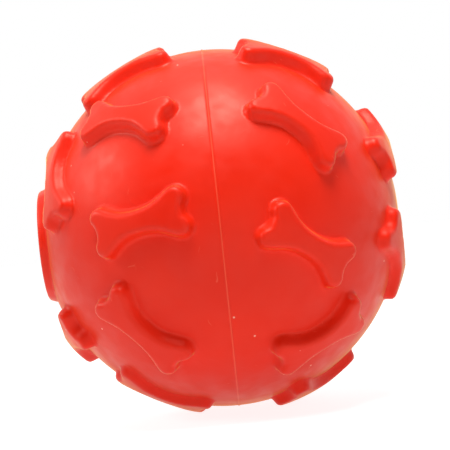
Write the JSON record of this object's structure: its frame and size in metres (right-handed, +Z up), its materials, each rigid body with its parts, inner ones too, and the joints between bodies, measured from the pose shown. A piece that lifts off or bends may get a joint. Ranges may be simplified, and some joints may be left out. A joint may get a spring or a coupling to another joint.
{
  "type": "squeaky dog ball",
  "caption": "Hollow rubber chew ball moulded in two bonded halves, with raised bone shapes all over and a reed squeaker set in a round flat boss on one pole.",
  "frame": {"origin": "centre of the ball", "axes": "-X out of the squeaker's pole, square to the seam plane x = 0; -Y towards the viewer of the picture; +Z up along the seam as pictured, before the seam's lean of about 6 degrees"},
  "size_m": [0.07, 0.0736, 0.0718],
  "materials": {
    "rubber_shell": "matte moulded rubber with a soft pale sheen",
    "squeaker_plastic": "satin moulded polyethylene",
    "reed_block_plastic": "satin moulded polystyrene",
    "reed_film": "smooth polyester film"
  },
  "bodies": {
    "ball": {"shell_left": "rubber_shell", "shell_right": "rubber_shell", "squeaker_case": "squeaker_plastic", "squeaker_cap": "squeaker_plastic", "reed_seat": "reed_block_plastic", "reed_wedge": "reed_block_plastic"},
    "reed": {"reed": "reed_film"}
  },
  "joints": [
    {"name": "reed_flex", "type": "hinge", "parent": "ball", "child": "reed", "pos_m": [-0.02926, 0, 0], "axis": [0, -1, 0], "range_deg": [-2.5, 4], "stiffness_Nm_per_rad": 0.004}
  ]
}
